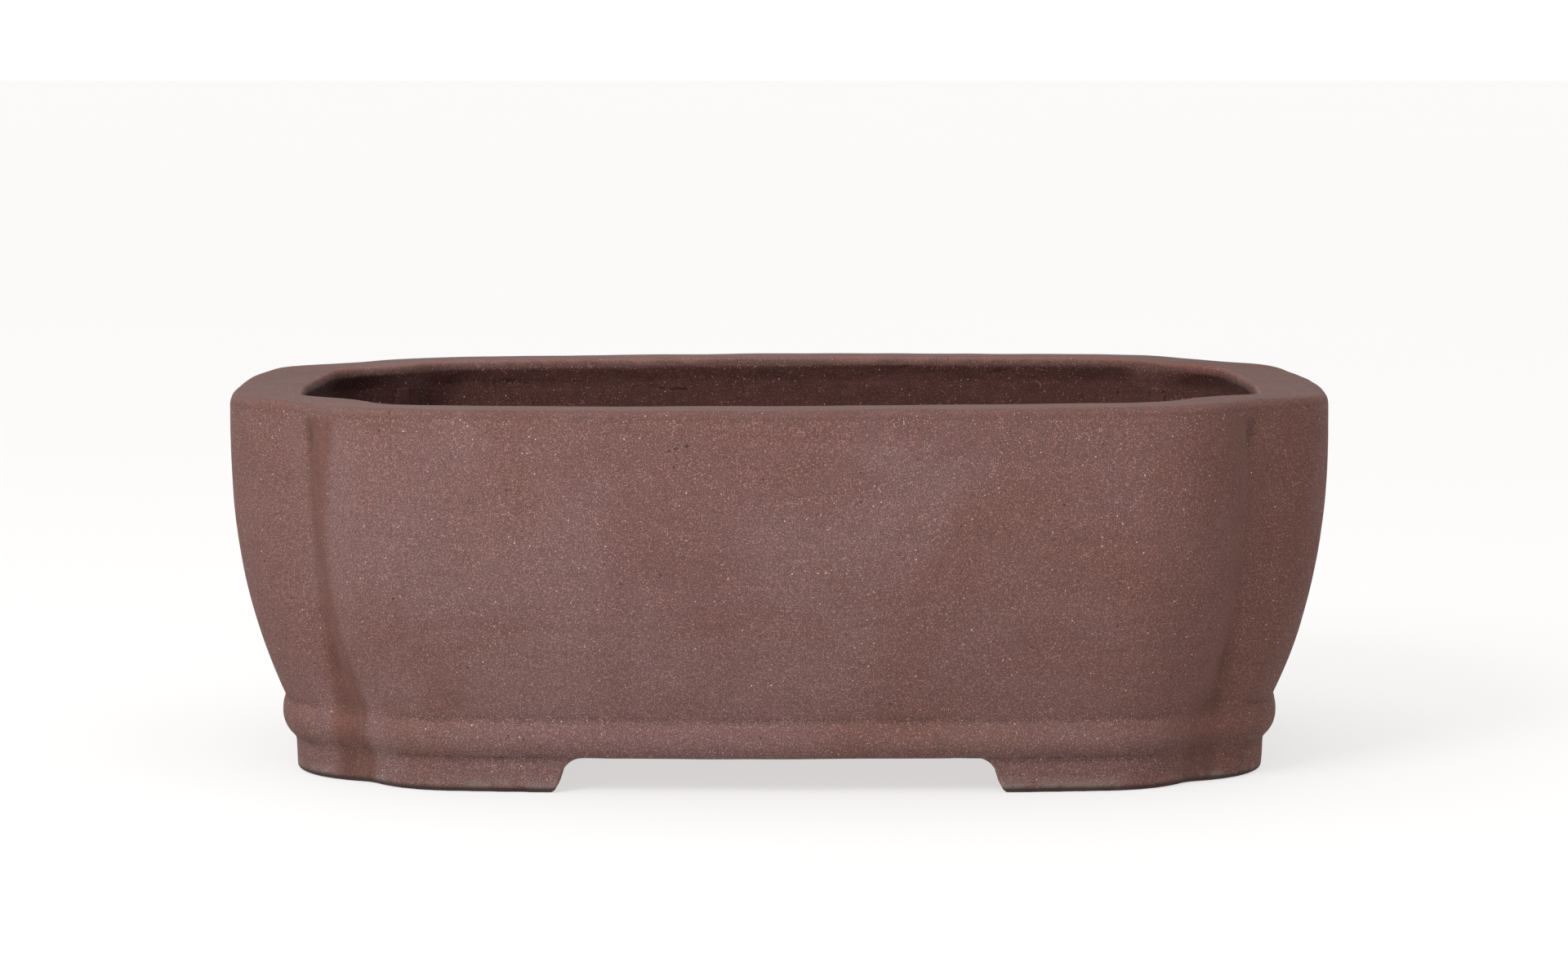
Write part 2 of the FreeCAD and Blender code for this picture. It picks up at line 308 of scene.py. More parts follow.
def displaced(obj, texture, strength, group="", direction="NORMAL", stretch=None):
    """Moves the surface by a texture. stretch draws the texture out along each axis."""
    values = {"texture": texture, "strength": strength, "direction": direction, "mid_level": 0.5,
              "vertex_group": group, "texture_coords": "LOCAL"}
    ruler = None
    if stretch:
        ruler = bpy.data.objects.new("texture_ruler", None)
        ruler.scale = stretch
        bpy.context.scene.collection.objects.link(ruler)
        bpy.context.view_layer.update()
        values.update(texture_coords="OBJECT", texture_coords_object=ruler)
    modifier(obj, "DISPLACE", **values)
    if ruler:
        bpy.data.objects.remove(ruler)


def cut(obj, point, normal, keep, fill=True):
    """Cuts the mesh at a plane and keeps the side that the point keep is on."""
    only(obj)
    keeps_front = (Vector(keep) - Vector(point)).dot(Vector(normal)) > 0
    bpy.ops.object.mode_set(mode="EDIT")
    bpy.ops.mesh.select_all(action="SELECT")
    bpy.ops.mesh.bisect(plane_co=point, plane_no=normal, use_fill=fill, clear_inner=keeps_front,
                        clear_outer=not keeps_front)
    bpy.ops.object.mode_set(mode="OBJECT")


def layer(obj, name, low=None, high=None):
    """A copy of the mesh between two heights."""
    made = duplicate(obj, name)
    if low is not None:
        cut(made, (0, 0, low), (0, 0, 1), (0, 0, 1))
    if high is not None:
        cut(made, (0, 0, high), (0, 0, 1), (0, 0, -1))
    return made


def mitre(corner):
    """A point on a corner's mitre plane, and the plane's normal."""
    depth, side = corner.split("_")
    keys = []
    for name in (depth, side):
        co = places(frame["nodes"][f"{name}_wall"])
        keys.append({tuple(np.rint(place / (0.01 * MM)).astype(int)) for place in co})
    shared = np.array(sorted(keys[0] & keys[1]), float) * 0.01 * MM
    if len(shared) < 4:
        raise RuntimeError(f"the walls at the {corner} corner share too few points")
    flat = shared[:, :2]
    radii = np.linalg.norm(flat, axis=1)
    inner, outer = flat[radii.argmin()], flat[radii.argmax()]
    along = (outer - inner) / np.linalg.norm(outer - inner)
    return (float(inner[0]), float(inner[1]), 0.0), (float(-along[1]), float(along[0]), 0.0)


def strip(ring, side, kind):
    """One side's piece of a ring, cut at its two mitre planes."""
    node = f"{side}_{kind}"
    low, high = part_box(node)
    middle = (low + high) / 2
    made = duplicate(ring, f"{node}_clay")
    facing = (0, 1, 0) if side in ("front", "back") else (1, 0, 0)
    cut(made, (0, 0, 0), facing, middle, fill=False)
    for corner in CORNERS:
        if side in corner.split("_"):
            point, normal = mitre(corner)
            cut(made, point, normal, middle)
    return made


def finish_piece(obj, node, material):
    """Shades a finished piece, hangs it on the root body, and hides the CAD node that it stands for."""
    obj.data.materials.clear()
    obj.data.materials.append(material)
    obj.vertex_groups.clear()
    only(obj)
    bpy.ops.object.shade_smooth_by_angle(angle=SHARP_EDGE)
    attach(obj, "root")
    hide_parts(node)


def edge_attribute(obj, passes=24, full=0.35 * MM):
    """Stores how much each point stands out of its surroundings, from -1 in a crease to 1 on an edge."""
    smooth = duplicate(obj, "smoothed_copy")
    softened(smooth, passes)
    standing = np.einsum("ij,ij->i", places(obj) - places(smooth), normals(obj))
    bpy.data.objects.remove(smooth)
    attribute = obj.data.attributes.get("edge") or obj.data.attributes.new("edge", "FLOAT", "POINT")
    attribute.data.foreach_set("value", np.clip(standing / full, -1, 1).astype(np.float32))


def store(obj, name, values):
    attribute = obj.data.attributes.get(name) or obj.data.attributes.new(name, "FLOAT", "POINT")
    attribute.data.foreach_set("value", values.astype(np.float32))


def store_plain(obj, heights, inside, rubbed):
    """Stores what the clay shader reads, on a piece that no notch touches."""
    for name, value in (("rubbed", rubbed), ("inside", inside), ("burnished", 0.0), ("valley_shade", 0.0),
                        ("level", heights / MM)):
        store(obj, name, np.broadcast_to(value, len(heights)))
    edge_attribute(obj)


def facing_in(obj):
    """1 on surfaces that face the pot's hollow, 0 on those that face out."""
    co, no = places(obj), normals(obj)
    inwards = -co[:, :2] * np.array([0.72, 1.0])
    inwards /= np.maximum(np.linalg.norm(inwards, axis=1, keepdims=True), 1e-6)
    return step_up(np.einsum("ij,ij->i", no[:, :2], inwards), -0.1, 0.25)


def notch_lines():
    """For each corner, the bottom of the notch at the wall's foot and at its top."""
    found = {}
    for corner in CORNERS:
        point, normal = mitre(corner)
        depth, side = corner.split("_")
        co = places(frame["nodes"][f"{depth}_wall"])
        off = np.abs((co[:, 0] - point[0]) * normal[0] + (co[:, 1] - point[1]) * normal[1])
        on_plane = co[off < 0.05 * MM]
        ends = []
        for height in (on_plane[:, 2].min(), on_plane[:, 2].max()):
            level = on_plane[np.abs(on_plane[:, 2] - height) < 1.0 * MM]
            ends.append(level[np.linalg.norm(level[:, :2], axis=1).argmax()])
        found[corner] = ends
    return found


def notch_distance(co, low_aside=0.0, high_aside=0.0):
    """How far each point is from the nearest notch's bottom, seen from above.

    The asides move the line along the front or back lobe, at the wall's foot and at its top.
    """
    nearest = np.full(len(co), 1.0)
    for low, high in notch_lines().values():
        share = np.clip((co[:, 2] - low[2]) / (high[2] - low[2]), -0.3, 1.1)[:, None]
        along = np.array([-math.copysign(1.0, low[0]), math.copysign(LOBE_SLOPE, low[1])])
        line = low[:2] + share * (high[:2] - low[:2]) + (low_aside + share * (high_aside - low_aside)) * along
        nearest = np.minimum(nearest, np.linalg.norm(co[:, :2] - line, axis=1))
    return nearest


# ---------------------------------------------------------------- clay


class Graph:
    """Short ways to add the nodes of one material."""

    def __init__(self, name):
        self.material = bpy.data.materials.new(name)
        self.material.use_nodes = True
        self.tree = self.material.node_tree
        self.shader = next(n for n in self.tree.nodes if n.type == "BSDF_PRINCIPLED")
        coordinates = self.tree.nodes.new("ShaderNodeTexCoord")
        self.place = self.mapped(coordinates.outputs["Object"], (1 / MM,) * 3)

    def put(self, socket, value):
        if isinstance(value, bpy.types.NodeSocket):
            self.tree.links.new(value, socket)
        elif isinstance(value, (tuple, list)) and socket.type == "RGBA" and len(value) == 3:
            socket.default_value = (*value, 1.0)
        else:
            socket.default_value = value

    def node(self, kind, inputs, **values):
        made = self.tree.nodes.new(kind)
        for key, value in values.items():
            setattr(made, key, value)
        for key, value in inputs.items():
            self.put(made.inputs[key], value)
        return made

    def mapped(self, vector, scale, offset=(0, 0, 0)):
        return self.node("ShaderNodeMapping", {"Vector": vector, "Scale": scale, "Location": offset}).outputs[0]

    def noise(self, size, detail=2.0, rough=0.5, vector=None, twist=0.0):
        """Soft noise, 0 to 1, whose features are about size millimetres across."""
        made = self.node("ShaderNodeTexNoise", {"Vector": vector or self.place, "Scale": 1 / size, "Detail": detail,
                                                "Roughness": rough, "Distortion": twist})
        return made.outputs["Fac"]

    def cells(self, size, vector=None):
        """Distance from the nearest of a scatter of points that are size millimetres apart, and a random colour."""
        made = self.node("ShaderNodeTexVoronoi", {"Vector": vector or self.place, "Scale": 1 / size},
                         feature="F1")
        return made.outputs["Distance"], made.outputs["Color"]

    def math(self, operation, a, b=0.0, clamp=False):
        return self.node("ShaderNodeMath", {0: a, 1: b}, operation=operation, use_clamp=clamp).outputs[0]

    def rise(self, value, low, high, to_low=0.0, to_high=1.0):
        """to_low below low, to_high above high and a smooth change between."""
        made = self.node("ShaderNodeMapRange", {"Value": value, "From Min": low, "From Max": high, "To Min": to_low,
                                                "To Max": to_high}, interpolation_type="SMOOTHSTEP")
        return made.outputs["Result"]

    def mix(self, share, a, b, blend="MIX"):
        made = self.node("ShaderNodeMix", {}, data_type="RGBA", blend_type=blend)
        self.put(made.inputs[0], share)
        self.put(made.inputs[6], a)
        self.put(made.inputs[7], b)
        return made.outputs[2]

    def total(self, *terms):
        return functools.reduce(lambda a, b: self.math("ADD", a, b), terms)

    def product(self, *factors):
        return functools.reduce(lambda a, b: self.math("MULTIPLY", a, b), factors)

    def grey(self, value):
        return self.node("ShaderNodeCombineXYZ", {0: value, 1: value, 2: value}).outputs[0]

    def attribute(self, name):
        return self.node("ShaderNodeAttribute", {}, attribute_name=name).outputs["Fac"]

    def part(self, vector, axis):
        return self.node("ShaderNodeSeparateXYZ", {0: vector}).outputs[axis]

    def vector(self, operation, a, b=(0, 0, 0), output=0):
        return self.node("ShaderNodeVectorMath", {0: a, 1: b}, operation=operation).outputs[output]

    def scratch(self, start, end, width):
        """1 on a wavering line from start to end, wherever the surface is in depth."""
        depthless = (1.0, 0.1, 1.0)
        start, end = (Vector(point) * Vector(depthless) for point in (start, end))
        run = end - start
        direction = tuple(run.normalized())
        from_start = self.vector("SUBTRACT", self.mapped(self.place, depthless), tuple(start))
        along = self.vector("DOT_PRODUCT", from_start, direction, output=1)
        along = self.math("MINIMUM", self.math("MAXIMUM", along, 0.0), run.length)
        nearest = self.node("ShaderNodeVectorMath", {0: direction}, operation="SCALE")
        self.put(nearest.inputs["Scale"], along)
        gap = self.vector("LENGTH", self.vector("SUBTRACT", from_start, nearest.outputs[0]), output=1)
        gap = self.math("ADD", gap, self.rise(self.noise(1.3, 2.0), 0.3, 0.7, -0.8 * width, 0.8 * width))
        return self.rise(gap, width, 0.4 * width)

    def grains(self, size, radius, share, vector=None):
        """Separate round grains: size apart and radius across in millimetres, in this share of the cells."""
        distance, scatter = self.cells(size, vector)
        present = self.rise(self.part(scatter, 0), 1 - share, 1 - share + 0.02)
        reach = self.math("MULTIPLY_ADD", self.part(scatter, 1), 0.6)
        reach.node.inputs[2].default_value = 0.4
        near = self.math("DIVIDE", distance, self.math("MULTIPLY", reach, radius / size))
        return self.math("MULTIPLY", self.rise(near, 1.0, 0.55), present)


# start and end in millimetres, and half the width, of scratches and cracks seen from the front
MARKS = (
    ((-23.0, -95.0, 77.6), (-18.5, -95.0, 79.0), 0.28),
    ((-24.5, -95.0, 77.1), (-22.0, -95.0, 77.9), 0.22),
    ((-104.6, -62.0, 81.6), (-105.4, -62.0, 78.6), 0.22),
    ((-30.0, 84.0, 78.4), (-22.5, 84.0, 78.1), 0.35),
    ((84.0, 80.0, 77.6), (90.0, 80.0, 79.0), 0.40),
)


def clay(name, sand=1.0, gloom=0.0, smooth=0.0, shine=0.25):
    """Unglazed sandy stoneware. sand is how much pale grain shows, and smooth is how far it was sponged.

    gloom is painted shade that darkens the rim's top, and shine is how much paler the edges are: partly wear, partly a
    painted highlight.
    """
    setting = bpy.context.scene.pot_clay
    graph = Graph(name)
    edge = graph.attribute("edge")
    rubbed = graph.math("MAXIMUM", graph.attribute("rubbed"), smooth)
    inside = graph.attribute("inside")
    burnished = graph.attribute("burnished")
    across = graph.part(graph.place, 0)
    height = graph.attribute("level")

    # broad drifts of colour, drawn out along the pot by wiping
    drift = graph.noise(24.0, 3.0, 0.55, graph.mapped(graph.place, (0.55, 0.55, 1.0)), 0.4)
    warmth = graph.rise(graph.math("ADD", drift, graph.math("MULTIPLY", rubbed, 0.32)), 0.40, 0.66)
    film = graph.noise(30.0, 4.0, 0.6, graph.mapped(graph.place, (0.6, 0.6, 0.8), (40, 11, 7)), 0.6)
    film = graph.math("ADD", film, graph.rise(across, 40.0, -110.0, -0.03, 0.10))
    # painted shade: the side lobes, most of all the right one, are mixed towards the red clay and get less haze
    right_lobe_shade = graph.rise(across, 66.0, 110.0, 0.0, 0.95)
    left_lobe_shade = graph.rise(across, -94.0, -118.0, 0.0, 0.45)
    side_lobe_shade = graph.product(graph.math("MAXIMUM", right_lobe_shade, left_lobe_shade),
                          graph.rise(graph.noise(16.0, 3.0, 0.6), 0.35, 0.60, 0.65, 1.0))
    plain = graph.product(graph.math("SUBTRACT", 1.0, graph.product(rubbed, 0.75)),
                          graph.math("SUBTRACT", 1.0, side_lobe_shade))
    haze = graph.product(graph.rise(film, 0.42, 0.68), plain)
    drawn_down = graph.noise(3.0, 3.0, 0.6, graph.mapped(graph.place, (1.0, 1.0, 0.12)))
    tone = graph.mix(graph.product(warmth, 0.75), tuple(setting.body), tuple(setting.warm))
    tone = graph.mix(graph.product(haze, 0.60), tone, tuple(setting.haze))
    tone = graph.mix(side_lobe_shade, tone, tuple(setting.red))
    tone = graph.mix(graph.product(burnished, graph.rise(drawn_down, 0.30, 0.62, 0.60, 1.0)), tone,
                     tuple(setting.red))
    # painted shade inside the pot: the inner colour, darker still at the left end, whose inner face is turned from the
    # key lamp
    lit = graph.rise(across, -112.0, -70.0, 0.60, 1.0)
    tone = graph.mix(inside, tone, graph.mix(1.0, tuple(setting.inner), graph.grey(lit), "MULTIPLY"))

    # faint streaks of wiping, and blotches a few millimetres across
    streak = graph.noise(2.6, 3.0, 0.6, graph.mapped(graph.place, (0.05, 0.05, 1.0)))
    blotch = graph.noise(3.4, 3.0, 0.65)
    light = graph.total(graph.rise(streak, 0.25, 0.75, -0.03, 0.03), graph.rise(blotch, 0.3, 0.7, -0.03, 0.03))
    light = graph.product(light, graph.rise(inside, 0.0, 1.0, 1.0, 3.5))

    # grain of the clay itself, quieter where it was sponged or burnished
    fine = graph.noise(0.25, 0.0)
    coarse = graph.noise(0.45, 1.0, 0.5)
    grain = graph.total(graph.rise(fine, 0.47, 0.80, -0.12, 1.05), graph.rise(coarse, 0.3, 0.7, -0.07, 0.07))
    calm = graph.rise(rubbed, 0.0, 1.0, 1.0, 0.50)
    grain = graph.product(grain, calm)

    # paler on edges, partly wear and partly a painted highlight; painted shade in creases, in the grooves, on the
    # rim's top and low down
    bright = graph.total(light, grain,
                         graph.rise(height, POT_TOP / MM - 2.8, POT_TOP / MM - 1.8, 1.0, 1.0 - gloom),
                         graph.rise(edge, -1.0, 0.0, -0.40, 0.0),
                         graph.rise(edge, 0.45, 1.0, 0.0, shine),
                         graph.product(graph.attribute("valley_shade"), -0.24),
                         graph.rise(height, FOOT_TOP / MM + 1.0, FOOT_TOP / MM + 5.0, -0.10, 0.0))
    tone = graph.mix(1.0, tone, graph.grey(bright), "MULTIPLY")

    # pale sand in clusters and along the edge of the sponged band, bright grains and dark iron spots
    band_edge = graph.math("ABSOLUTE", graph.math("SUBTRACT", height, (POT_TOP - SPONGED_BAND) / MM))
    cluster = graph.rise(graph.noise(11.0, 3.0, 0.6), 0.38, 0.62, 0.40, 1.0)
    cluster = graph.total(cluster, graph.rise(band_edge, 0.9, 0.2, 0.0, 1.2))
    small = graph.grains(0.50, 0.17, 0.50 * sand)
    large = graph.grains(1.5, 0.22, 0.46 * sand)
    pits = graph.grains(3.1, 0.34, 0.36)
    spots = graph.grains(1.6, 0.21, 0.24)
    tone = graph.mix(graph.product(small, 0.90, graph.product(cluster, calm)), tone, tuple(setting.pale))
    tone = graph.mix(graph.product(large, graph.product(calm, 0.85)), tone,
                     tuple(channel * 1.6 for channel in setting.pale))
    tone = graph.mix(graph.product(graph.math("MAXIMUM", pits, graph.product(spots, 0.6)), 0.75), tone,
                     tuple(setting.dark))

    # short scratches and drying cracks
    scratches = None
    for start, end, width in MARKS:
        scratch = graph.scratch(start, end, width)
        scratches = graph.math("MAXIMUM", scratches, scratch) if scratches else scratch
    tone = graph.mix(graph.product(scratches, 0.6), tone, tuple(setting.dark))

    # dust and wear where the feet meet the ground, and painted contact shade along their bottom edges
    low_down = graph.rise(height, 4.2, 0.6)
    worn = graph.product(low_down, graph.rise(graph.noise(7.0, 4.0, 0.65), 0.44, 0.60))
    tone = graph.mix(graph.product(worn, 0.55), tone, tuple(setting.dust))
    tone = graph.mix(graph.rise(height, 1.8, 0.7, 0.0, 0.85), tone, tuple(setting.dark))

    graph.put(graph.shader.inputs["Base Color"], tone)
    graph.put(graph.shader.inputs["Roughness"],
              graph.math("SUBTRACT", graph.rise(grain, -0.3, 0.3, setting.roughness + 0.10, setting.roughness - 0.02),
                         graph.product(rubbed, 0.12)))
    graph.shader.inputs["Specular IOR Level"].default_value = 0.22

    # sandy grain in relief, with pits and scratches
    relief = graph.total(graph.product(grain, 0.6), graph.product(small, 0.3), graph.product(pits, -1.5),
                         graph.product(scratches, -2.5), graph.rise(blotch, 0.2, 0.8, -0.2, 0.2))
    relief = graph.product(relief, graph.rise(inside, 0.0, 1.0, 1.0, 1.5))
    bump = graph.node("ShaderNodeBump", {"Height": relief, "Strength": 1.0, "Distance": setting.grain_depth})
    graph.tree.links.new(bump.outputs["Normal"], graph.shader.inputs["Normal"])
    return graph.material


def material(name, **values):
    return bpy.data.materials.get(name) or clay(name, **values)


# ---------------------------------------------------------------- pieces


class BONSAI_OT_skin(Operator):
    """Fuse the walls, rim, belt and feet, and give the clay its hand-made surface"""

    bl_idname = "bonsai.skin"
    bl_label = "Clay Skin"

    def execute(self, context):
        form = context.scene.pot_form
        nodes = [f"{side}_{kind}" for kind in ("wall", "rim", "belt") for side in SIDES]
        skin = fused(nodes + [f"foot_{corner}" for corner in CORNERS], "skin")
        skinned(skin, form.skin_step)
        softened(skin, form.softening)

        co = places(skin)
        away = notch_distance(co)
        inside = facing_in(skin) * step_up(co[:, 2], BASE_TOP - 1 * MM, BASE_TOP) * (1 - step_up(
            co[:, 2], POT_TOP - 2.8 * MM, POT_TOP - 1.8 * MM))
        # clay fills the notches, most of all at the rim
        full = step_up(co[:, 2], POT_TOP - 40 * MM, POT_TOP - 4 * MM)
        full *= np.exp(-(away / (6.5 * MM)) ** 2) * (1 - inside)
        for column, (axis, share) in enumerate(OUTWARDS.items()):
            for way in (1, -1):
                name = weigh(skin, f"fill_{axis}_{way}", full * (way * co[:, column] > 0), FINE_LEVELS)
                modifier(skin, "DISPLACE", direction=axis, strength=way * share * form.notch_fill, mid_level=0.0,
                         vertex_group=name)

        low_part = 1 - step_up(co[:, 2], BASE_TOP + 3 * MM, BASE_TOP + 12 * MM)
        above_ground = step_up(co[:, 2], 0.8 * MM, 3.0 * MM)
        notch = weigh(skin, "notch", (1 - step_up(away, 6 * MM, 15 * MM)) * (1 - inside) * low_part * above_ground)
        softened(skin, form.notch_softening, notch)

        # the rim rises a little at the front right, the back and the left end, and the pot isn't quite true
        co = places(skin)
        store(skin, "level", co[:, 2] / MM)
        high = step_up(co[:, 2], 0.3 * POT_TOP, POT_TOP)
        slope = step_up(co[:, 0], -20 * MM, 100 * MM) * step_up(-co[:, 1], -20 * MM, 80 * MM)
        back_slope = step_up(co[:, 0], -100 * MM, 10 * MM) * step_up(co[:, 1], 20 * MM, 70 * MM)
        back_slope *= 1 - 0.35 * step_up(co[:, 0], 98 * MM, 116 * MM)
        left_end = np.exp(-((co[:, 0] - CAD_BOX[0].x) / (6 * MM)) ** 2 - ((co[:, 1] - 22 * MM) / (24 * MM)) ** 2)
        rise = weigh(skin, "rise", high * np.maximum(np.maximum(slope, 0.95 * back_slope), 0.8 * left_end),
                     FINE_LEVELS)
        modifier(skin, "DISPLACE", direction="Z", strength=form.rise, mid_level=0.0, vertex_group=rise)
        upper = weigh(skin, "upper", high)
        displaced(skin, clouds("warp", 0.075, 1), form.rim_wave, upper, "Z")

        # a tool was drawn down each notch
        groove = weigh(skin, "groove", (1 - step_up(notch_distance(co, *GROOVE_ASIDE), 0.3 * MM, 4.2 * MM)) * (
            1 - inside) * step_up(co[:, 2], BASE_TOP + 3 * MM, BASE_TOP + 14 * MM) * (
            1 - step_up(co[:, 2], POT_TOP - 8 * MM, POT_TOP - 3 * MM)), MEDIUM_LEVELS)
        modifier(skin, "DISPLACE", direction="NORMAL", strength=-form.groove_depth, mid_level=0.0, vertex_group=groove)

        # outside: dents, ripples and the marks of wiping
        standing = step_up(co[:, 2], 0.5 * MM, 4.0 * MM)
        outside = weigh(skin, "outside", (1 - inside) * standing)
        displaced(skin, clouds("dents", 0.026, 1), form.dent_depth, outside)
        displaced(skin, clouds("ripples", 0.012, 2), form.ripple_depth, outside, stretch=(1.6, 1.6, 1))
        displaced(skin, clouds("wipes", 0.0040, 2), form.wipe_depth, outside, stretch=(8, 8, 1))
        displaced(skin, pitted("pits", 0.0085, 0.10), form.pit_depth, outside)

        # inside: lumps, an uneven lip and torn marks
        inner = weigh(skin, "inner", inside)
        displaced(skin, clouds("lumps", 0.009, 3), form.inner_lumps, inner, stretch=(2.2, 2.2, 1))
        displaced(skin, clouds("scrapes", 0.0024, 3), form.scrape_depth, inner, stretch=(5, 5, 1))
        displaced(skin, pitted("tears", 0.0052, 0.22), form.tear_depth, inner, stretch=(2.6, 2.6, 0.8))
        lip = weigh(skin, "lip", inside * step_up(co[:, 2], RIM_BOTTOM - 5 * MM, RIM_BOTTOM) * (
            1 - step_up(co[:, 2], POT_TOP - 3.4 * MM, POT_TOP - 2.0 * MM)))
        displaced(skin, clouds("lip", 0.021, 2), form.lip_wave, lip, "Z")

        co = places(skin)
        on_rim = 0.6 * step_up(co[:, 2], POT_TOP - SPONGED_BAND, POT_TOP - 1.2 * MM)
        below_rim = (1 - step_up(co[:, 2], POT_TOP - 3.4 * MM, POT_TOP - 2 * MM)) * (1 - inside)
        in_notch = 1 - step_up(notch_distance(co, *BURNISHED_ASIDE), 3.6 * MM, 7.4 * MM)
        rubbed = np.maximum(on_rim * (1 - inside), 0.8 * in_notch * below_rim)
        store(skin, "burnished", in_notch * below_rim)
        # painted shade along the groove down each notch, stored for the clay shader
        store(skin, "valley_shade", (1 - step_up(notch_distance(co, *GROOVE_ASIDE), 0.3 * MM, 3.0 * MM)) * below_rim)
        store(skin, "rubbed", rubbed)
        store(skin, "inside", inside)
        edge_attribute(skin)
        return {"FINISHED"}


class StripOperator:
    """What the operators for the three kinds of strip share."""

    kind = ""

    def low_high(self):
        raise NotImplementedError

    def execute(self, context):
        low, high = self.low_high()
        ring = layer(bpy.data.objects["skin"], f"{self.kind}_ring", low, high)
        for side in SIDES:
            piece = strip(ring, side, self.kind)
            finish_piece(piece, f"{side}_{self.kind}", self.clay())
        bpy.data.objects.remove(ring)
        return {"FINISHED"}


class BONSAI_OT_rim(StripOperator, Operator):
    """Cut the four rim strips from the skin"""

    bl_idname = "bonsai.rim"
    bl_label = "Rim Strips"
    kind = "rim"

    def low_high(self):
        return RIM_BOTTOM, None

    def clay(self):
        # painted shade on the rim's top, and a stronger painted highlight on its edges
        return material("rim stoneware, sponged", gloom=0.12, shine=0.55)


class BONSAI_OT_walls(StripOperator, Operator):
    """Cut the four lobed walls from the skin"""

    bl_idname = "bonsai.walls"
    bl_label = "Walls"
    kind = "wall"

    def low_high(self):
        return BASE_TOP, RIM_BOTTOM

    def clay(self):
        return material("wall stoneware")


class BONSAI_OT_belt(StripOperator, Operator):
    """Cut the four belt strips from the skin"""

    bl_idname = "bonsai.belt"
    bl_label = "Belt Strips"
    kind = "belt"

    def low_high(self):
        return FOOT_TOP, BASE_TOP

    def clay(self):
        return material("belt stoneware", smooth=0.1)


class BONSAI_OT_feet(Operator):
    """Cut the four corner feet from the skin"""

    bl_idname = "bonsai.feet"
    bl_label = "Corner Feet"

    def execute(self, context):
        ring = layer(bpy.data.objects["skin"], "foot_ring", None, FOOT_TOP)
        for corner in CORNERS:
            depth, side = corner.split("_")
            node = f"foot_{corner}"
            made = duplicate(ring, f"{node}_clay")
            low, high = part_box(node)
            middle = (low + high) / 2
            cut(made, (0, 0, 0), (1, 0, 0), middle, fill=False)
            cut(made, (0, 0, 0), (0, 1, 0), middle, fill=False)
            finish_piece(made, node, material("foot stoneware", smooth=0.1, sand=0.9))
        bpy.data.objects.remove(ring)
        bpy.data.objects.remove(bpy.data.objects["skin"])
        return {"FINISHED"}


class BONSAI_OT_floor(Operator):
    """Give the base slab its rolled and scraped surface"""

    bl_idname = "bonsai.floor"
    bl_label = "Base Slab"

    def execute(self, context):
        form = context.scene.pot_form
        slab = fused(["base_slab"], "base_slab_clay")
        skinned(slab, form.floor_step)
        softened(slab, 4)
        co, no = places(slab), normals(slab)
        flat = weigh(slab, "flat", step_up(np.abs(no[:, 2]), 0.85, 0.98))
        displaced(slab, clouds("floor_dents", 0.022, 2), form.floor_dents, flat, "Z")
        displaced(slab, clouds("floor_scrapes", 0.004, 3), form.floor_scrapes, flat, "Z", (5, 1, 1))
        store_plain(slab, co[:, 2], inside=step_up(no[:, 2], -0.2, 0.2), rubbed=0.0)
        finish_piece(slab, "base_slab", material("base stoneware", sand=0.8))
        return {"FINISHED"}


class BONSAI_OT_coils(Operator):
    """Press the seam coils into the floor's edge and the notches inside"""

    bl_idname = "bonsai.coils"
    bl_label = "Seam Coils"

    def execute(self, context):
        form = context.scene.pot_form
        for node in ["floor_seam_coil"] + [f"corner_seam_coil_{corner}" for corner in CORNERS]:
            coil = fused([node], f"{node}_clay")
            skinned(coil, form.coil_step)
            softened(coil, 6)
            displaced(coil, clouds("presses", 0.011, 2), form.coil_presses)
            displaced(coil, clouds("smears", 0.003, 3), form.coil_smears)
            store_plain(coil, places(coil)[:, 2], inside=1.0, rubbed=0.3)
            finish_piece(coil, node, material("inside stoneware", sand=0.8))
        return {"FINISHED"}


# the lamp at the front left, in metres
KEY_PLACE = (-0.52, -0.86, 0.66)
KEY_AIM = (0, 0, 0.05)
KEY_WIDTH = 0.5
FLOOR_WIDTH = 60
SENSOR_WIDTH = 36.0


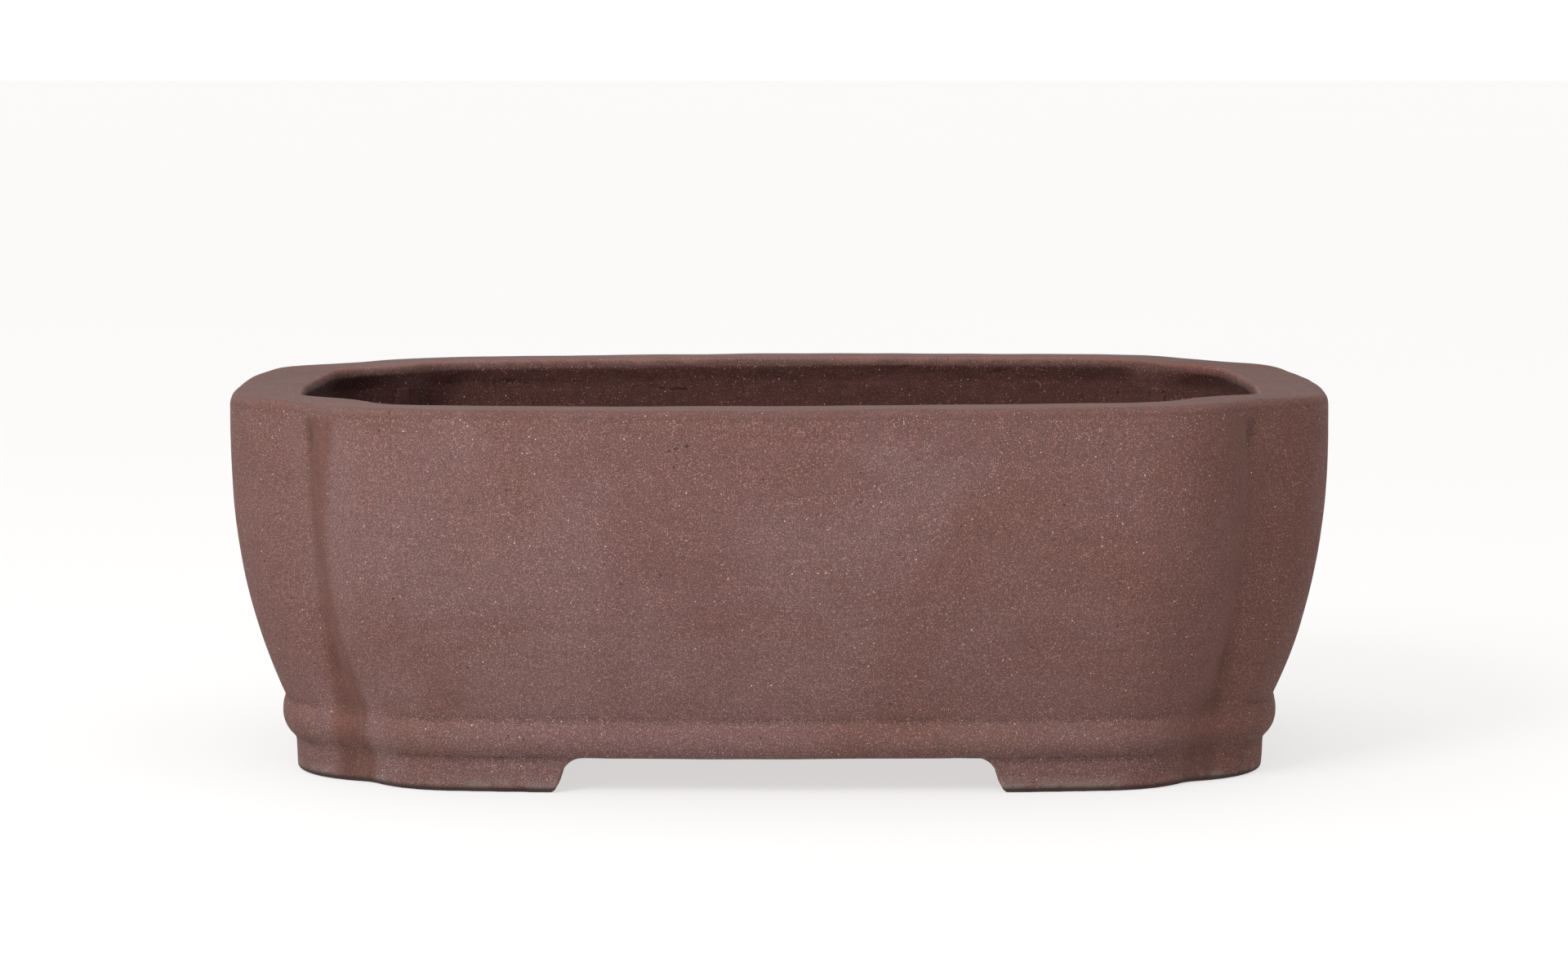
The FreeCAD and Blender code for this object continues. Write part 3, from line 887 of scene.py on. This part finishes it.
class BONSAI_OT_stage(Operator):
    """Lay the floor, hang the key lamp and set up the camera"""

    bl_idname = "bonsai.stage"
    bl_label = "Stage"

    def lamp(self, name, place, aim, size, power):
        data = bpy.data.lights.new(name, "AREA")
        data.shape = "DISK"
        data.size = size
        data.energy = power
        made = bpy.data.objects.new(name, data)
        made.location = place
        made.rotation_euler = (Vector(aim) - Vector(place)).to_track_quat("-Z", "Y").to_euler()
        bpy.context.scene.collection.objects.link(made)

    def execute(self, context):
        setting = context.scene.pot_studio
        bpy.ops.object.select_all(action="DESELECT")
        bpy.ops.mesh.primitive_plane_add(size=FLOOR_WIDTH, location=(0, 0, CAD_BOX[0].z))
        floor = bpy.context.object
        floor.name = "floor"
        graph = Graph("floor, pale and lit from below")
        shade = graph.rise(graph.noise(600.0, 2.0), 0.3, 0.7, 0.985, 1.0)
        graph.put(graph.shader.inputs["Base Color"], graph.mix(shade, (0, 0, 0), tuple(setting.floor)))
        graph.shader.inputs["Roughness"].default_value = 0.9
        graph.shader.inputs["Specular IOR Level"].default_value = 0.1
        graph.shader.inputs["Emission Color"].default_value = (1.0, 0.985, 0.975, 1.0)
        graph.shader.inputs["Emission Strength"].default_value = setting.floor_glow
        floor.data.materials.append(graph.material)

        self.lamp("key_lamp", KEY_PLACE, KEY_AIM, KEY_WIDTH, setting.key_power)

        world = bpy.data.worlds.new("studio")
        context.scene.world = world
        world.use_nodes = True
        background = next(n for n in world.node_tree.nodes if n.type == "BACKGROUND")
        background.inputs["Color"].default_value = (1, 1, 1, 1)
        background.inputs["Strength"].default_value = setting.sky
        context.scene.view_settings.view_transform = "Standard"

        data = bpy.data.cameras.new("camera")
        data.lens = setting.lens
        data.sensor_width = SENSOR_WIDTH
        camera = bpy.data.objects.new("camera", data)
        camera.location = (setting.aside, -setting.distance, setting.height)
        camera.rotation_euler = (math.pi / 2 - setting.tilt, 0, 0)
        context.scene.collection.objects.link(camera)
        context.scene.camera = camera
        return {"FINISHED"}


class BONSAI_PT_panel(Panel):
    """The pot's pieces and settings"""

    bl_idname = "BONSAI_PT_panel"
    bl_label = "Bonsai Pot"
    bl_space_type = "VIEW_3D"
    bl_region_type = "UI"
    bl_category = "Bonsai Pot"

    def draw(self, context):
        for operator in OPERATORS:
            self.layout.operator(operator.bl_idname)
        for group in (context.scene.pot_form, context.scene.pot_clay, context.scene.pot_studio):
            box = self.layout.box()
            for name in group.__annotations__:
                box.prop(group, name)


GROUPS = {"pot_form": PotForm, "pot_clay": PotClay, "pot_studio": PotStudio}
OPERATORS = (BONSAI_OT_skin, BONSAI_OT_rim, BONSAI_OT_walls, BONSAI_OT_belt, BONSAI_OT_feet, BONSAI_OT_floor,
             BONSAI_OT_coils, BONSAI_OT_stage)


def register():
    for cls in (*GROUPS.values(), *OPERATORS, BONSAI_PT_panel):
        bpy.utils.register_class(cls)
    for name, group in GROUPS.items():
        setattr(bpy.types.Scene, name, PointerProperty(type=group))


def unregister():
    for name in GROUPS:
        delattr(bpy.types.Scene, name)
    for cls in reversed((*GROUPS.values(), *OPERATORS, BONSAI_PT_panel)):
        bpy.utils.unregister_class(cls)


def main():
    register()
    for operator in OPERATORS:
        group, name = operator.bl_idname.split(".")
        getattr(getattr(bpy.ops, group), name)()


if __name__ == "__main__":
    main()
